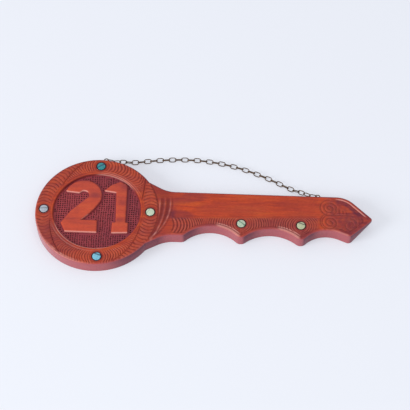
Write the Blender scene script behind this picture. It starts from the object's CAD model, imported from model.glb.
"""Dresses the wall key: the carved board, shell discs, screw eyes, chain and the stage round them.

Sizes are in millimetres while a shape is worked out, and in metres in Blender. The X axis runs from
the round head to the tip, Y to the straight upper edge, and Z out of the carved face.
"""

import math
from types import SimpleNamespace

import bmesh
import bpy
import numpy as np
from bpy.props import FloatProperty, FloatVectorProperty, IntProperty, PointerProperty
from mathutils import Matrix, Vector, geometry, kdtree


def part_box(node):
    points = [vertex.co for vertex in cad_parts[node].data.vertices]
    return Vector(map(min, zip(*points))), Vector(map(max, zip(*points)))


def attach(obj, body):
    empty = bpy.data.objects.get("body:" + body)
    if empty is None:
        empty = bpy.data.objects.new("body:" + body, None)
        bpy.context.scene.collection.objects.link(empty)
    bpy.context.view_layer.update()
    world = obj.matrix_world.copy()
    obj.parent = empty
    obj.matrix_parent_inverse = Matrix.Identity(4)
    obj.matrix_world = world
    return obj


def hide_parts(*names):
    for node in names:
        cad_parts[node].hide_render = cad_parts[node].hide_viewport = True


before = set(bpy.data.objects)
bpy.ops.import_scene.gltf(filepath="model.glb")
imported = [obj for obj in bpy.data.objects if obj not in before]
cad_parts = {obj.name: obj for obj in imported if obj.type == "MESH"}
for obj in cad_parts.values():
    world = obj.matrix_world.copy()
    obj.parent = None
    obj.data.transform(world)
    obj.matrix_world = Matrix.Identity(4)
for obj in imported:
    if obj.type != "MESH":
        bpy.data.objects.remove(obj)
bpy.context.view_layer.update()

bl_info = {
    "name": "Wall Key",
    "version": (1, 0, 0),
    "blender": (4, 5, 0),
    "location": "3D View > Sidebar > Wall Key",
    "description": "Carves and dresses a wooden wall key with shell discs and a hanging chain",
    "category": "Object",
}

MM = 0.001
TAU = 2 * math.pi
HEAD_DISCS = ("right", "top", "left", "bottom")
LINKS = [f"chain_link_{number:02d}" for number in range(1, 36)]
MOST_TRIANGLES = 200000
# distance between neighbours in a drawn node tree
NODE_STEP = 180
# distances between the points of the board's mesh, in millimetres
OUTLINE_STEP = 0.75
FACE_STEP = 0.58
PLAIN_STEP = 1.5
NUMERAL_STEP = 1.25
BACK_STEP = 9.0
# how far a numeral's foot stands out from its edge, and its top in from it, in millimetres
NUMERAL_FOOT = 0.3
NUMERAL_SHOULDER = -0.95
DISC_SEGMENTS = 72
WIRE_SIDES = 14
# half the width of the stage's floor, the camera's film, and the point it looks at, in millimetres
FLOOR_HALF = 6000
FILM_WIDTH = 36
PICTURE_MIDDLE = (129.0, 12.4, 18.0)
# how far loose points keep from the board's edge, from fixed loops and from the discs' middles
CLEAR_OF_EDGE = 0.3
CLEAR_OF_LOOPS = 0.32
CLEAR_OF_DISCS = 6.8
# points of a sheet that are closer than this become one
CLOSEST = 1e-5
# places along the key, in millimetres: where the upper half of the shank is left plain, where the
# carving of its lower half fades in and out, where the ripples of the collar and of the first disc
# meet, and where the carving of the shank and of the tip begins
PLAIN_SHANK = (92, 264)
CARVED_RUN = (90, 92, 262, 266)
FIRST_MEETING = 131.0
SHANK_START = 84
TIP_START = 252
# the deepest that the face is cut, and the thin film that comes off all of it
DEEPEST_CUT = 1.9
FACE_SKIM = 0.06
# the ridges of the collar: where each crosses the level 12 mm up, and the radius of its bow
COLLAR_RIDGES = ((75.6, 90), (81.8, 95), (88.6, 62))
# the rings round a shell disc: radius, drop below the face, tone
SOCKET_RINGS = ((6.5, 0.12, "face"), (5.85, 0.45, "seam"), (5.3, 1.2, "seam"), (5.08, 1.9, "seam"))
# columns of the table of surface points, after x, y and z
MARKS = ("ground", "numeral", "seam", "wall", "crest", "stain", "worn", "recess")
GROUND, NUMERAL, SEAM, WALL, CREST, STAIN, WORN, RECESS = range(3, 3 + len(MARKS))
TONES = {
    # ground, numeral, seam, wall
    "face": (0, 0, 0, 0),
    "wall": (0.5, 0, 0.2, 0),
    "ground": (1, 0, 0, 0),
    "pit": (1, 0, 1, 0),
    "side": (0, 0.7, 0, 0),
    "numeral": (0, 1, 0, 0),
    "seam": (0, 0, 1, 0),
    "flank": (0, 0, 0, 1),
}


def length(name, text, millimetres):
    """A size that a user may change, given in millimetres and kept in metres."""
    return FloatProperty(
        name=name, description=text, default=millimetres * MM, min=0, precision=5,
        subtype="DISTANCE", unit="LENGTH",
    )


def colour(name, text, rgb):
    """A colour that a user may change."""
    return FloatVectorProperty(
        name=name, description=text, default=rgb, size=3, min=0, max=1, subtype="COLOR"
    )


def amount(name, text, default, low=0.0, high=1.0):
    """A plain share between two limits."""
    return FloatProperty(name=name, description=text, default=default, min=low, max=high)


class BoardSizes(bpy.types.PropertyGroup):
    """Sizes of the sawn board, as in the solid model."""

    board_t: length("Thickness", "Thickness of the board", 18)
    head_r: length("Head radius", "Radius of the round head", 74.1)
    shank_w: length("Shank width", "Width of the shank before its lower edge is scalloped", 61)
    tip_x: length("Tip", "Distance from the middle of the head to the tip", 328.7)
    arris: length("Front arris", "Radius of the rounding along the front edges", 2)
    chamfer: length("Back chamfer", "Size of the chamfer along the back edges", 0.8)
    hollow_r: length("Tight hollow", "Radius of the hollow between head and collar", 7)
    flare_r: length("Wide hollow", "Radius of the hollow between collar and shank", 40)
    collar_gap: length("Collar gap", "Gap between the wide hollow and the rim of the head", 3.1)
    collar_run: length("Collar run", "Straight lower edge before the first scallop", 8.2)
    point_1_x: length("First point", "Place of the first point along the key", 173.1)
    point_2_x: length("Second point", "Place of the second point along the key", 244.2)
    point_r: length("Point radius", "Radius of the rounded points", 8)
    scallop_1: length("First scallop", "Depth of the first scallop", 14.1)
    scallop_2: length("Second scallop", "Depth of the second scallop", 12.6)
    scallop_3: length("Third scallop", "Depth of the third scallop", 13.5)
    scallop_3_back: length("Third scallop's end", "Its distance back from the tip", 21.5)
    tip_r: length("Nose radius", "Radius of the nose of the tip", 3)
    shoulder_r: length("Shoulder radius", "Radius of the shoulder at the tip", 30)
    shoulder_back: length("Shoulder place", "Distance of the shoulder back from the tip", 42.3)
    corner_r: length("Corner radius", "Radius of the lower corner of the tip", 5)
    corner_back: length("Corner place", "Distance of the lower corner back from the tip", 27.5)
    corner_drop: length("Corner drop", "Distance of the corner below the middle line", 19.2)
    tip_pared: length("Pared tip", "Depth to which the back is pared away under the nose", 8.5)
    panel_r: length("Panel radius", "Radius of the sunk panel", 52.5)
    panel_depth: length("Panel depth", "Depth of the sunk panel", 3.6)
    panel_bevel: length("Panel bevel", "Bevel round the rim of the sunk panel", 1.2)
    numeral_h: length("Numeral height", "Height of the numerals above the panel", 3)


class CarvingSizes(bpy.types.PropertyGroup):
    """Sizes of the carving on the face."""

    ripple_pitch: length("Ripple pitch", "Distance from one fine ripple to the next", 3.0)
    ripple_depth: length("Ripple depth", "Depth of the ripples", 0.95)
    ripple_bow: length("Ripple bow", "Radius to which the ripples are bent", 10.6)
    seam_depth: length("Seam depth", "Depth of the crescent grooves where ripples meet", 1.1)
    lip_w: length("Lip width", "Width of the plain lip round the panel", 1.9)
    volute_pitch: length("Volute pitch", "Distance between the turns of the volutes", 4.4)
    volute_depth: length("Volute depth", "Depth of the volutes' grooves", 0.9)
    punch_pitch: length("Punch pitch", "Distance from one punched dot to the next", 2.8)
    punch_r: length("Punch radius", "Radius of a punched dot", 1.06)
    punch_depth: length("Punch depth", "Depth of a punched dot", 0.85)
    seed: IntProperty(name="Seed", description="Start of the hand's small errors", default=7)


class FittingSizes(bpy.types.PropertyGroup):
    """Sizes of the shell discs, the screw eyes and the chain."""

    disc_r: length("Disc radius", "Radius of a shell disc", 4.95)
    disc_shank_y: length("Disc place", "Distance of the shank's discs below the middle line", 12)
    disc_turn: amount("Bottom disc", "Turn of the head's bottom disc, in degrees", 4.3, 0, 8)
    eye_wire: length("Eye wire", "Thickness of a screw eye's wire", 1.3)
    eye_ring: length("Eye ring", "Outer diameter of a screw eye's ring", 7)
    eye_neck: length("Eye neck", "Bare neck between ring and wood", 0.8)
    shank_d: length("Eye shank", "Diameter of the threaded shank", 1.9)
    shank_len: length("Eye shank length", "Length of the threaded shank", 10)
    thread_pitch: length("Thread pitch", "Rise of the screw thread in one turn", 0.9)
    link_bulge: amount("Link bulge", "How far the sides of a middle link bulge, for its width", 0.12)
    end_bulge: amount("End link bulge", "The same for the two end links, which turn in their eyes", 0.05)
    link_wire: length("Link wire", "Thickness of a link's wire", 1.1)
    link_w: length("Link width", "Outer width of a link", 6.2)
    link_inside: length("Link opening", "Length of the opening in a link", 8)


class FinishColours(bpy.types.PropertyGroup):
    """Colours of the finishes."""

    wood: colour("Wood", "Polished red wood", (0.560, 0.066, 0.020))
    wood_dark: colour("Dark wood", "Stain that has gathered in the carving", (0.120, 0.010, 0.016))
    numeral: colour("Numerals", "Polished tops of the numerals", (0.570, 0.088, 0.060))
    ground: colour("Ground", "Punched ground of the panel", (0.330, 0.050, 0.066))
    edge: colour("Edges", "Sawn side walls under the varnish", (0.400, 0.088, 0.115))
    crest: colour("Crests", "Rubbed crests of the carving", (0.620, 0.150, 0.100))
    worn: colour("Worn edges", "Edges rubbed pale by handling", (0.880, 0.420, 0.360))
    stain: colour("Stain", "Dark stain on the collar and the tip", (0.105, 0.018, 0.046))
    bronze: colour("Bronze", "Dark metal of the chain", (0.120, 0.071, 0.040))
    floor: colour("Floor", "Pale floor", (0.850, 0.868, 0.945))


class StageSizes(bpy.types.PropertyGroup):
    """Where the camera stands and how strong the lamps are."""

    distance: length("Camera distance", "Distance from the camera to the key", 1600)
    field: length("Field", "Width that the picture takes in at the key", 492)
    turn: amount("Turn", "Turn of the camera round the key, in degrees", 2.25, -20, 20)
    elevation: amount("Elevation", "Height of the camera above the table, in degrees", 57.2, 10, 90)
    sky: amount("Sky", "Strength of the even light", 0.70, 0, 2)
    lamp: amount("Lamp", "Power of the main lamp in watts", 72.0, 0, 200)


def size_names(group):
    """Names of a group's own sizes."""
    return [name for name in group.bl_rna.properties.keys() if name not in ("rna_type", "name")]


def in_mm(*groups):
    """All sizes of some groups under one name, with their lengths in millimetres."""
    sizes = SimpleNamespace()
    for group in groups:
        for name in size_names(group):
            value = getattr(group, name)
            is_length = group.bl_rna.properties[name].unit == "LENGTH"
            setattr(sizes, name, value / MM if is_length else value)
    return sizes


def smooth(value, low, high):
    """Runs softly from 0 at low to 1 at high."""
    share = np.clip((value - low) / (high - low), 0, 1)
    return share * share * (3 - 2 * share)


def between(value, low, risen, falling, high):
    """Runs softly from 0 at low to 1 at risen, and from 1 at falling back to 0 at high."""
    return smooth(value, low, risen) * (1 - smooth(value, falling, high))


def polar(x, y):
    """Distance from the middle of the head, and direction in degrees from 0 to 360."""
    return np.hypot(x, y), np.degrees(np.arctan2(y, x)) % 360


def line_cut(distance, width):
    """A soft groove along a line: 1 on the line, and near 0 beyond its width."""
    return np.exp(-np.square(distance / width))


def unevenness(x, y, scale, seed):
    """Slow even change over a surface, about -1 to 1, always the same for a seed."""
    draw = np.random.default_rng(seed)
    total = np.zeros_like(x)
    for _ in range(6):
        angle = draw.uniform(0, TAU)
        stretch = draw.uniform(0.6, 1.6) / scale
        shift = draw.uniform(0, TAU)
        total += np.sin((x * math.cos(angle) + y * math.sin(angle)) * stretch * TAU + shift)
    return total / 3.5


def unit(vectors):
    """Rows of vectors, each made one long."""
    return vectors / np.linalg.norm(vectors, axis=1, keepdims=True)


def right_of(vectors):
    """Rows of flat vectors, each turned a quarter to the right."""
    return np.stack([vectors[:, 1], -vectors[:, 0]], -1)


def directions(angles):
    """Rows of flat vectors, one long, that point at some angles."""
    return np.stack([np.cos(angles), np.sin(angles)], -1)


def outline_circles(key):
    """The circles that the board's outline runs round, as [x, y, r], with hollows below zero."""
    half, tip_x = key.shank_w / 2, key.tip_x
    flare_y = half + key.flare_r
    reach = key.head_r + key.flare_r + key.collar_gap
    collar_end_x = math.sqrt(reach * reach - flare_y * flare_y)
    angle = math.asin(flare_y / reach)
    start = collar_end_x + key.collar_run
    first, second = key.point_1_x, key.point_2_x

    def hollow(side):
        away = key.head_r + key.hollow_r
        return (away * math.cos(angle), side * away * math.sin(angle), -key.hollow_r)

    def flare(side):
        return (collar_end_x, side * flare_y, -key.flare_r)

    def point(x):
        return (x, -half + key.point_r, key.point_r)

    def scallop(left, right, depth):
        span = (right - left) / 2
        r = (span * span + depth * depth) / (2 * depth) - key.point_r
        return ((left + right) / 2, -half + depth - r, -r)

    return [
        (0, 0, key.head_r),
        hollow(-1),
        flare(-1),
        point(start),
        scallop(start, first, key.scallop_1),
        point(first),
        scallop(first, second, key.scallop_2),
        point(second),
        scallop(second, tip_x - key.scallop_3_back, key.scallop_3),
        (tip_x - key.corner_back, -key.corner_drop, key.corner_r),
        (tip_x - key.tip_r, 0, key.tip_r),
        (tip_x - key.shoulder_back, half - key.shoulder_r, key.shoulder_r),
        flare(1),
        hollow(1),
    ]


def leave_angle(one, other):
    """Direction of the outward normal where the outline leaves one circle for the other."""
    dx, dy = other[0] - one[0], other[1] - one[1]
    ratio = (one[2] - other[2]) / math.hypot(dx, dy)
    return math.atan2(dy, dx) - math.acos(max(-1, min(1, ratio)))


def outline(circles, step):
    """Points along the board's outline, anticlockwise, with their outward normals."""
    points, normals = [], []
    for number, here in enumerate(circles):
        before, after = circles[number - 1], circles[(number + 1) % len(circles)]
        start, end = leave_angle(before, here), leave_angle(here, after)
        sweep = (end - start) % TAU if here[2] > 0 else -((start - end) % TAU)
        steps = max(2, math.ceil(abs(sweep * here[2]) / step))
        angles = start + sweep * np.arange(steps + 1) / steps
        normal = directions(angles)
        arc = np.array(here[:2]) + here[2] * normal
        far = np.array(after[:2]) + after[2] * normal[-1]
        straight = np.linalg.norm(far - arc[-1])
        spare = int(straight // step)
        if spare:
            shares = np.arange(1, spare + 1)[:, None] / (spare + 1)
            arc = np.vstack([arc, arc[-1] + (far - arc[-1]) * shares])
            normal = np.vstack([normal, np.repeat(normal[-1:], spare, 0)])
        elif straight < step / 4:
            arc, normal = arc[:-1], normal[:-1]
        points.append(arc)
        normals.append(normal)
    return np.vstack(points), np.vstack(normals)


def arc_points(x, y, r, first, last, steps):
    """Points along a round stretch between two angles in degrees."""
    angles = np.radians(np.linspace(first, last, steps + 1))
    return [(x + r * math.cos(a), y + r * math.sin(a)) for a in angles]


def numeral_loops():
    """Outlines of the two numerals, as drawn for the solid model but with finer arcs."""
    two = arc_points(-18, 20.6, 22.4, 164, -18, 36)
    two += [(-2.8, 3.6), (-10.2, -5.4), (-18.2, -13.2), (1.3, -13.5), (2.1, -30.2), (-36, -30)]
    two += [(-42, -18), (-31.6, -1.2), (-14.4, 16.5)]
    two += arc_points(-17.6, 21.6, 6.6, -20, 108, 12)
    two += [(-23.4, 25)]
    one = [(6.7, 29), (14.8, 37.6), (25.4, 42.4), (33, 38.8), (34.2, 36.2), (35.4, -15.4)]
    one += [(38.4, -15.5), (38.8, -29.2), (19.2, -30.2), (19.3, -15.6), (23.4, -15.5), (21.4, 26.9)]
    return [np.array(two), np.array(one)]


def filled_in(loop, step):
    """The same closed loop with points about one step apart, all turned anticlockwise."""
    ahead = np.roll(loop, -1, 0)
    if np.sum(loop[:, 0] * ahead[:, 1] - ahead[:, 0] * loop[:, 1]) < 0:
        loop = loop[::-1]
        ahead = np.roll(loop, -1, 0)
    out = []
    for here, there in zip(loop, ahead):
        pieces = max(1, round(np.linalg.norm(there - here) / step))
        out += [here + (there - here) * k / pieces for k in range(pieces)]
    return np.array(out)


def nearest(points, targets):
    """Index of the nearest target for each point, and the distance to it."""
    tree = kdtree.KDTree(len(targets))
    for number, (x, y) in enumerate(targets):
        tree.insert((x, y, 0), number)
    tree.balance()
    found = [tree.find((x, y, 0)) for x, y in points]
    return np.array([f[1] for f in found]), np.array([f[2] for f in found])


def moved_loop(loop, distance):
    """A closed loop moved outwards, or inwards below zero, without the folds at its corners."""
    ahead = unit(np.roll(loop, -1, 0) - loop)
    first, second = right_of(np.roll(ahead, 1, 0)), right_of(ahead)
    both = (first + second) / (1 + np.sum(first * second, 1, keepdims=True)).clip(0.5)
    moved = loop + both * distance
    _, gap = nearest(moved, filled_in(loop, 0.2))
    return moved[gap > abs(distance) * 0.93]


def inside(points, loop):
    """Which points lie inside a closed loop."""
    x, y = points.T
    result = np.zeros(len(points), bool)
    for (x0, y0), (x1, y1) in zip(loop, np.roll(loop, -1, 0)):
        if y0 != y1:
            result ^= ((y0 > y) != (y1 > y)) & (x < (x1 - x0) * (y - y0) / (y1 - y0) + x0)
    return result


def circle_loop(middle, r, step):
    """Points of a circle."""
    count = max(12, round(TAU * r / step))
    return np.array(middle) + r * directions(np.arange(count) * TAU / count)


def disc_places(key):
    """Middles of the six shell discs, by node name."""
    circle_r = (key.head_r + key.panel_r + key.panel_bevel) / 2
    places = {}
    for name, degrees in zip(HEAD_DISCS, (0, 90, 180, 270 + key.disc_turn)):
        angle = math.radians(degrees)
        places["shell_disc_head_" + name] = (circle_r * math.cos(angle), circle_r * math.sin(angle))
    places["shell_disc_shank_1"] = (key.point_1_x, -key.disc_shank_y)
    places["shell_disc_shank_2"] = (key.point_2_x, -key.disc_shank_y)
    return places


def deepest(*cuts):
    """The deepest of several cuts at each point."""
    return np.maximum.reduce(cuts)


def ripples(along, across, pitch, bow):
    """Bent ripples: 0 on their broad crests and 1 at the bottom of their narrow troughs."""
    phase = along + np.square(across) / (2 * bow)
    return np.power(0.5 - 0.5 * np.cos(TAU * phase / pitch), 1.4)


def seam_angles(share):
    """Directions of the four seams of the border, at a share of the way from the lip to the rim."""
    return [
        15 + 26.5 * share ** 0.625,
        147 - 44 * share ** 0.7,
        183 + 59 * share ** 0.625,
        345 - 60 * share ** 0.8,
    ]


def head_ring(x, y, r, theta, key):
    """Depth of the carving on the border of the head. Ripples spread both ways from each disc and
    meet at four slanting seams. Those that run up and down the key's sides are the wider ones."""
    rim, head_r = key.panel_r + key.panel_bevel, key.head_r
    middle_r = (head_r + rim) / 2
    across = r - middle_r
    share = np.clip((r - rim - key.lip_w) / (head_r - rim - key.lip_w), 0, 1)
    seams = seam_angles(share)
    disc_angles = [0, 90, 180, 270 + key.disc_turn, 360]
    own = np.full_like(r, disc_angles[-1])
    for seam, angle in zip(seams[::-1], disc_angles[-2::-1]):
        own = np.where(theta < seam, angle, own)
    along = np.radians(np.abs(theta - own)) * middle_r
    along += 0.55 * unevenness(x, y, 17, 41) * smooth(along, 6, 14)
    wide = np.isin(own, (0, 180, 360))
    stretch = 1 + 0.32 * between(theta, 20, 40, 80, 88)
    fine = ripples(along / stretch, across, key.ripple_pitch, key.ripple_bow)
    broad = ripples(along, across, key.ripple_pitch * 1.5, key.ripple_bow)
    shallow = ripples(along + 1, across, key.ripple_pitch * 0.75, key.ripple_bow)
    ripple = np.where(wide, np.maximum(broad, 0.4 * shallow), fine)
    gaps = np.stack([np.radians(theta - seam) * r * 0.62 for seam in seams])
    gap = gaps[np.argmin(np.abs(gaps), 0), np.arange(len(r))]
    from_disc = np.hypot(along, across)
    height = smooth(from_disc, 8.2, 9.6) * smooth(share, 0.02, 0.16)
    height *= 0.3 + 0.7 * smooth(np.abs(gap), 0.8, 3.4)
    height *= 0.78 + 0.25 * unevenness(x, y, 22, 4) + 0.15 * unevenness(x, y, 6, 5)
    height *= 1 - 0.45 * between(theta, 188, 205, 232, 250)
    height = np.clip(height, 0, 1.15)
    seam_cut = line_cut(gap, 0.85) * smooth(share, 0.0, 0.1)
    feathers = line_cut(np.abs(gap) - 2.1, 0.5) * 0.5 + line_cut(np.abs(gap) - 3.7, 0.5) * 0.35
    feathers *= smooth(share, 0.05, 0.3) * smooth(from_disc, 9, 12)
    lip = line_cut(r - rim - key.lip_w, 0.55) * (0.35 + 0.3 * between(theta, 30, 60, 120, 150))
    second_lip = line_cut(r - rim - 3.6, 0.5) * between(theta, 200, 215, 250, 262) * 0.6
    dish = smooth(9.6 - from_disc, 0, 2.4) * 0.5
    cut = deepest(ripple * height * key.ripple_depth, dish, seam_cut * key.seam_depth)
    crest = (1 - ripple) * height * (1 - np.clip(seam_cut + feathers, 0, 1))
    crest *= 0.75 + 0.4 * unevenness(x, y, 9, 6)
    return cut + feathers * 0.45 + lip + second_lip, crest


def collar(x, y, r, key):
    """Depth of the carving between the head and the plain shank: a groove that carries on the circle
    of the head, and two flutes between three thin ridges that fan out from the lower edge."""
    head_r = key.head_r
    rim_cut = line_cut(r - head_r + 0.4, 0.9) * 1.15 * smooth(x, 60, 64)
    first, second, third = (np.hypot(x + bow - at, y - 12) - bow for at, bow in COLLAR_RIDGES)
    before_second = np.clip(first / np.clip(first - second, 1.5, 8), 0, 1)
    before_third = np.clip(second / np.clip(second - third, 1.5, 8), 0, 1)
    flute = np.sin(math.pi * np.where(second < 0, before_second, before_third)) ** 0.8
    cut = np.where((first > 0) & (third < 0), flute, 0)
    cut += np.where(third >= 0, line_cut(third - 1.6, 1.3) * 0.6, 0)
    cut *= (1 - smooth(y, 15, 25)) * smooth(r, head_r, head_r + 1)
    upper = smooth(y, 17, 25) * (1 - smooth(x, 84, 96)) * 0.45
    return rim_cut + cut + upper * (r > head_r)


def carved_line(x):
    """Height on the shank of the line that the carving below it runs up to."""
    return -5.6 + (x - 90) * 0.0385


def shank(x, y, edge, key):
    """Depth of the carving on the lower half of the shank: ripples round two discs and a run of
    ripples that comes out of the collar."""
    pitch = key.ripple_pitch
    first, second = key.point_1_x, key.point_2_x
    meeting = (first + second) / 2
    along = np.abs(x - np.where(x < meeting, first, second))
    along += 0.4 * unevenness(x, y, 13, 43) * smooth(along, 6, 12)
    across = y + key.disc_shank_y
    from_disc = np.hypot(along, across)
    round_disc = ripples(along, across, pitch * 0.95, 6.5 + 0.3 * along)
    from_collar = ripples(x - 91, y + 17, pitch * (1.55 - 0.012 * np.clip(x - 91, 0, 40)), 13.5)
    ripple = np.where(x < FIRST_MEETING, from_collar, round_disc)
    run = between(x, *CARVED_RUN)
    height = smooth(carved_line(x) - y, 0.3, 3.4) * run * smooth(edge, 2.6, 4.0)
    height *= smooth(from_disc, 7.2, 8.8) * (0.45 + 0.55 * smooth(np.abs(x - meeting), 1, 5))
    height *= 0.3 + 0.7 * smooth(np.abs(x - FIRST_MEETING), 1, 6)
    height *= 0.85 + 0.3 * unevenness(x, y, 26, key.seed + 9)
    ripple_cut = ripple * height * key.ripple_depth * np.where(x < 112, 1.15, 0.9)
    dish = smooth(8.0 - from_disc, 0, 2.2) * 0.45
    line = line_cut(y - carved_line(x), 0.7) * run * 0.4
    lower = smooth(-y, 6, 9) * between(x, 86, 92, 268, 276)
    flank = np.where(x < meeting, between(x, 143, 150, 174, 176), between(x, 216, 222, 245, 247))
    bevel = line_cut(edge - 3.1, 0.75) * lower * (0.25 + 0.75 * flank)
    nested = line_cut(edge - 5.4, 0.5) * lower * flank * 0.5
    drop_line = line_cut(along, 0.5) * smooth(-y, 18, 20) * 0.3 * (edge > 3)
    crest = (1 - ripple) * height * (0.75 + 0.35 * unevenness(x, y, 9, 6))
    return deepest(ripple_cut, dish) + line + bevel + nested - drop_line, crest


def volute(x, y, middle, reach, pitch, hand):
    """Depth share of a groove that winds in from its top by half turns about two middles in turn."""
    step = pitch / 2
    dx = x - middle[0]
    turns = []
    for turn in range(int((reach - 2) / step) + 1):
        odd = turn % 2
        off = np.hypot(dx, y - middle[1] + odd * step) - (reach - turn * step)
        half = smooth(dx * hand * (2 * odd - 1), -0.7, 0.3)
        turns.append(line_cut(off, 0.95 if turn else 1.15) * half)
    return deepest(*turns)


def tip_end(x, y, edge, key):
    """Depth of the carving at the tip: three volutes, the line between them, barbs and bevels."""
    tip_x, pitch = key.tip_x, key.volute_pitch
    upper, lower, small = (tip_x - 50.2, 15.0), (tip_x - 49.6, -5.0), (tip_x - 25.7, -7.8)
    border = line_cut(np.hypot(x - lower[0], y - lower[1]) - 11.8, 0.8) * smooth(lower[0] - x, 1, 4)
    cut = deepest(
        volute(x, y, upper, 11.0, pitch, 1),
        volute(x, y, lower, 9.6, pitch, 1),
        volute(x, y, small, 8.0, pitch, -1) * 0.8,
        line_cut(y - 4.6, 0.9) * between(x, lower[0], lower[0] + 1, 304, 309) * 0.9,
        border,
    )
    eyes = sum(
        line_cut(np.hypot(x - middle[0] - right, y - middle[1] + down), 2.0)
        for middle, right, down in ((upper, 1.8, 1.5), (lower, 1.2, 1.0), (small, 0, 1.5))
    )
    far = smooth(x, 281, 287)
    bevel = line_cut(edge - 4.9, 0.8) * far * smooth(np.abs(y + 1), 1, 4) * 0.55
    bevel += line_cut(edge - 8.0, 0.6) * far * smooth(y, 1, 4) * 0.24
    run = (x - 284) * 0.88 - (y - 24) * 0.47
    slant = (x - 284) * 0.47 + (y - 24) * 0.88
    leaf = between(slant, -17, -14, -7.5, -5.5) * between(run, 2, 4, 27, 31) * smooth(y, 5.5, 7)
    barbs = ripples(run + 0.55 * slant, slant + 11, 5.0, 14) * leaf
    beyond = ripples(x - y * 0.5, y + 8, 4.2, 9) * between(x, 308, 311, 318, 321)
    beyond *= (1 - smooth(y, 0, 3)) * smooth(edge, 3.5, 5)
    under = ripples(x * 0.6 - y, x - 292, 4.0, 10) * between(x, 287, 290, 297, 300)
    under *= (1 - smooth(y, -13, -10)) * smooth(edge, 3.2, 4.5)
    fan = ripples(np.hypot(x - 246, y - 30) - 14, 0, 3.6, 10) * between(x, 254, 257, 265, 267)
    loose = barbs * 0.75 + beyond * 0.45 + under * 0.4 + fan * between(y, 13, 16, 26, 28) * 0.2
    crest = 0.6 * (1 - cut) * smooth(cut, 0.05, 0.3)
    return deepest(cut * key.volute_depth, loose) + bevel + eyes * 0.35, crest


def face_depth(x, y, edge, key):
    """Depth of the whole face below its plain height at a row of points, and how far each is a
    rubbed crest."""
    r, theta = polar(x, y)
    head_r = key.head_r
    on_ring = 1 - smooth(r, head_r - 1.4, head_r - 0.6) * smooth(x, 55, 60)
    depth, crest = (part * on_ring for part in head_ring(x, y, r, theta, key))
    depth = depth + np.where(r > head_r - 3, collar(x, y, r, key), 0)
    body, body_crest = (np.where(x > SHANK_START, part, 0) for part in shank(x, y, edge, key))
    end, end_crest = tip_end(x, y, edge, key)
    body = np.where(x > TIP_START, deepest(body, end), body)
    body_crest = np.where(x > TIP_START, np.maximum(body_crest, end_crest), body_crest)
    depth = depth + np.where(r > head_r, body, 0)
    crest = np.where(r > head_r, body_crest, crest)
    hand = unevenness(x, y, 21, key.seed) * 0.05 + unevenness(x, y, 6, key.seed + 1) * 0.03
    return np.clip(depth + hand + FACE_SKIM, 0, DEEPEST_CUT), np.clip(crest, 0, 1)


def stain(x, y, edge, key):
    """Where the dark red stain has stayed: the collar, the tip and beside the tip's bevel."""
    r, angle = polar(x, y)
    patch = unevenness(x * 0.35, y, 24, 31)
    neck = smooth(r, key.head_r - 0.5, key.head_r + 1) * between(x, 50, 56, 90, 97 + 0.2 * y)
    strip = smooth(carved_line(x) - y, 0.5, 3) * between(x, 90, 96, 262, 270)
    head = 0.1 + 0.14 * unevenness(x, y, 11, 35).clip(0, 1) + 0.42 * between(angle, 185, 205, 235, 260)
    shaded = neck * (0.32 + 0.15 * patch) + strip * (0.42 + 0.168 * patch) + head * (r < key.head_r)
    shaded += 0.45 * smooth(patch, 0.15, 0.75) * between(x, 84, 92, 120, 150)
    shaded += 0.09 * between(x, 140, 230, 270, 282)
    shaded += 0.45 * between(edge, 4.4, 5.4, 9, 11.5) * smooth(y, 2, 6) * smooth(x, 284, 290)
    end = 0.5 + 0.14 * smooth(-y, -2, 10) + 0.2 * patch + 0.16 * unevenness(x, y, 7, 33)
    return np.clip(shaded + end * smooth(x, 270, 282), 0, 1)


def ground_stain(x, y):
    """Stain on the ground of the panel, darker at the top, the right and the bottom."""
    dark = 0.22 * smooth(x, 2, 28) + 0.22 * smooth(-y, 18, 32) + 0.25 * smooth(y, 26, 40)
    return np.clip(dark + 0.12 * unevenness(x, y, 18, 61), 0, 0.5)


def worn(x, y, edge, key):
    """Where handling has rubbed the edges of the carving pale."""
    r, angle = polar(x, y)
    from_rim = r - key.panel_r - key.panel_bevel
    patch = 0.6 + 0.4 * unevenness(x, y, 12, 51)
    top_right = between(angle, 20, 35, 72, 98) * 0.75
    total = line_cut(from_rim - 0.3, 0.4) * top_right * 0.6
    total += line_cut(from_rim - 2.6, 0.4) * (between(angle, 196, 212, 262, 285) + top_right) * 0.35
    fading = 0.28 * (1 - smooth(y, 10, 24)) * (r > key.head_r) * patch
    for (at, bow), back in zip(COLLAR_RIDGES, (0.7, 1.2, 1.0)):
        total += line_cut(np.hypot(x + bow - at + back, y - 12) - bow, 0.9) * fading
    first, second = key.point_1_x, key.point_2_x
    flank = between(x, first - 32, first - 25, first - 3, first)
    flank += between(x, second - 30, second - 23, second - 3, second)
    flank *= smooth(-y, 8, 12)
    total += (line_cut(edge - 2.4, 0.62) + 0.8 * line_cut(edge - 4.6, 0.5)) * flank
    tip = line_cut(edge - 3.9, 0.5) * smooth(x, 284, 290) * smooth(y, 2, 5)
    total += (0.675 + 0.27 * patch) * tip
    low = line_cut(edge - 2.4, 0.6) * between(angle, 212, 222, 250, 262) * (x < 60) * 0.6
    return np.clip(total + low * patch, 0, 1)


def paring(points, key):
    """The pared plane: its outward direction, the depth share that it asks for at full height,
    and how far out each point is."""
    corner, nose = outline_circles(key)[9:11]
    angle = leave_angle(corner, nose)
    out = directions(angle)
    along = np.array([-out[1], out[0]])
    run = math.hypot(nose[0] - corner[0], nose[1] - corner[1]) + nose[2]
    start = np.array(corner[:2]) + corner[2] * out
    return out, (points - start) @ along / run, (points - start) @ out


def pared_top(key):
    """Height at which the paring begins."""
    return key.board_t - key.arris - 1


def pared(points, height, key):
    """Points of the wall, moved in to the plane that the back of the tip is pared to."""
    out, forward, across = paring(points, key)
    limit = key.tip_pared * (height / pared_top(key) - forward)
    over = np.where((forward > 0) & (height < pared_top(key)), across - limit, 0).clip(0)
    return points - over[:, None] * out


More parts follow.
